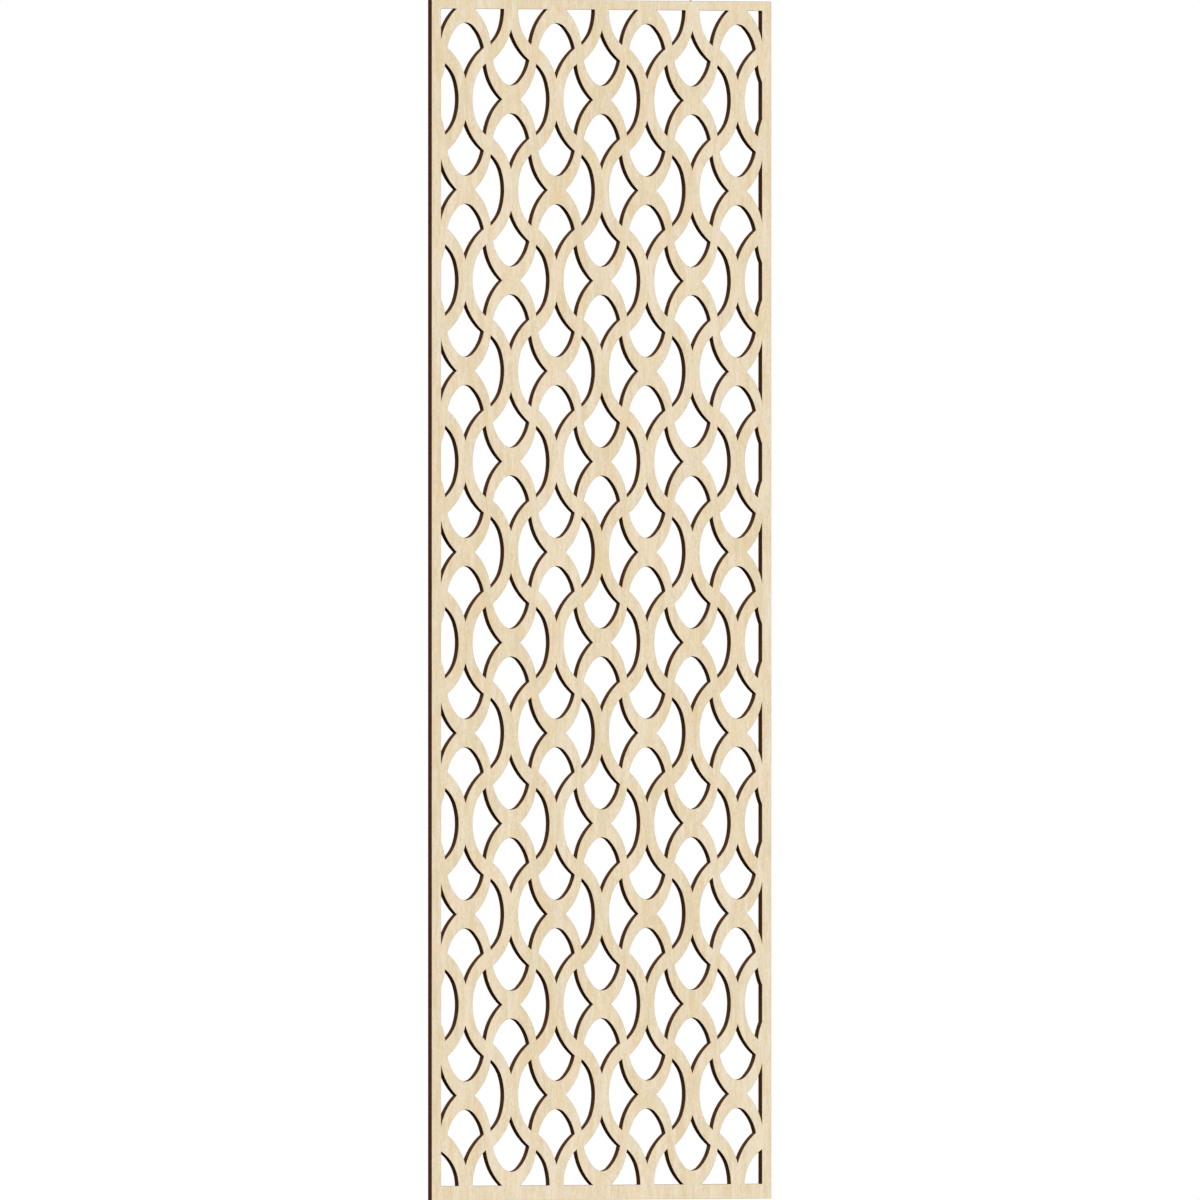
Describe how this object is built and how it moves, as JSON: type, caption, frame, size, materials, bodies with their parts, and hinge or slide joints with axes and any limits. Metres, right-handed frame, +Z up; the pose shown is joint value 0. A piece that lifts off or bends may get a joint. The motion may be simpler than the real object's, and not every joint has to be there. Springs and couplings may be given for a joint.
{
  "type": "hanging room divider panel",
  "caption": "Tall flat fretwork panel of cut plywood: an ogee lattice of openings in a slim border, hung from screw eyes and S-hooks in its top edge.",
  "frame": {"origin": "midway between the two S-hooks, level with the underside of their upper bends, where what carries the panel bears", "axes": "+X to the right seen from the front, -Y out of the front face, +Z up"},
  "size_m": [0.654, 0.016, 2.0395],
  "materials": {
    "face_veneer": "sanded pale birch veneer, unfinished, grain upright",
    "charred_crossband": "cut edge browned by the laser, matte",
    "charred_core": "cut edge browned by the laser, matte",
    "zinc_plated_steel": "bright zinc plate"
  },
  "bodies": {
    "panel": {"front_veneer": "face_veneer", "front_crossband": "charred_crossband", "core_ply": "charred_core", "back_crossband": "charred_crossband", "back_veneer": "face_veneer", "screw_eye_left": "zinc_plated_steel", "screw_eye_right": "zinc_plated_steel"},
    "left_hook": {"s_hook_left": "zinc_plated_steel"},
    "right_hook": {"s_hook_right": "zinc_plated_steel"}
  },
  "joints": [
    {"name": "left_hook_swing", "type": "hinge", "parent": "panel", "child": "left_hook", "pos_m": [-0.1747, 0, -0.0213], "axis": [1, 0, 0], "range_deg": [-120, 120]},
    {"name": "right_hook_swing", "type": "hinge", "parent": "panel", "child": "right_hook", "pos_m": [0.1747, 0, -0.0213], "axis": [1, 0, 0], "range_deg": [-120, 120]}
  ]
}
